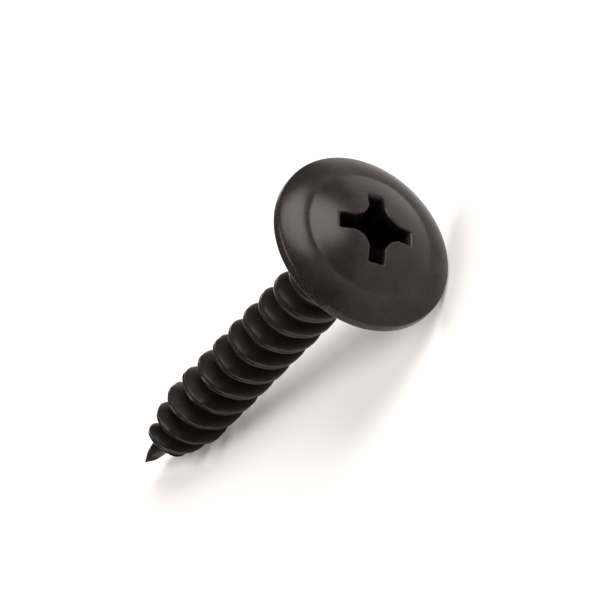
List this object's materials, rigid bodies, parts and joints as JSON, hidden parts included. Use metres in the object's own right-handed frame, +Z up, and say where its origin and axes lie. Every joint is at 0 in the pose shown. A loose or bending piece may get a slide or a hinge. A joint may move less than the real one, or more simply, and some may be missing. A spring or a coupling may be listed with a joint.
{
  "type": "washer head screw",
  "caption": "Self-tapping steel screw with a wide low washer head, a cross recess, a coarse thread and a sharp point, finished in black phosphate.",
  "frame": {"origin": "on the surface that the screw lies on, under the middle of its bounding box", "axes": "+X towards the head along the lying screw, +Z up; the screw's own axis climbs from point to head at about ten degrees"},
  "size_m": [0.0276, 0.011, 0.0109],
  "materials": {
    "black_phosphated_steel": "black phosphate, satin matt"
  },
  "bodies": {
    "root": {"screw": "black_phosphated_steel"}
  },
  "joints": []
}
